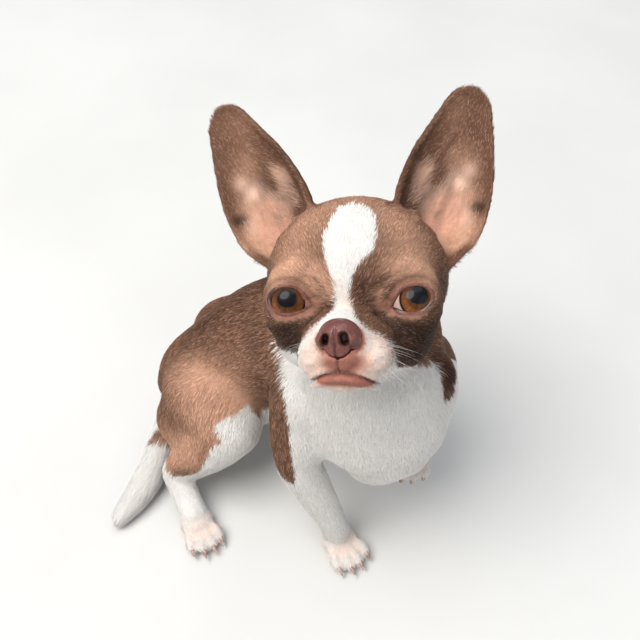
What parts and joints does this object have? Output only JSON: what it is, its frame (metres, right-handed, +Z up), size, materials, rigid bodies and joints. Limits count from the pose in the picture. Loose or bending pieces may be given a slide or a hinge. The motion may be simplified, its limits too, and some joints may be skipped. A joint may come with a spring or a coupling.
{
  "type": "chihuahua dog, still model",
  "caption": "Life-size still model of a smooth-coated chihuahua, crouching with one forepaw lifted, head raised and large upright ears.",
  "frame": {"origin": "on the floor, under the middle of the box that holds the whole dog", "axes": "+Z up; the face is turned towards -Y and up; the dog's left is towards +X"},
  "size_m": [0.1868, 0.1594, 0.2203],
  "materials": {
    "brown_coat": "short smooth brown hair, soft sheen",
    "white_coat": "short smooth white hair, pink skin showing through on the muzzle and toes",
    "nose": "moist liver-brown nose leather",
    "eye": "wet, glossy, amber-brown iris with a dark pupil"
  },
  "bodies": {
    "root": {"head": "brown_coat", "ear_right": "brown_coat", "ear_left": "brown_coat", "neck": "brown_coat", "belly": "brown_coat", "rump": "brown_coat", "thigh_right": "brown_coat", "thigh_left": "brown_coat", "upper_foreleg_right": "brown_coat", "upper_foreleg_left": "brown_coat", "jaw": "white_coat", "chest": "white_coat", "tail": "white_coat", "forearm_right": "white_coat", "forearm_left": "white_coat", "forepaw_right": "white_coat", "forepaw_left": "white_coat", "shin_right": "white_coat", "shin_left": "white_coat", "foot_right": "white_coat", "foot_left": "white_coat", "eye_right": "eye", "eye_left": "eye", "nose": "nose"}
  },
  "joints": []
}
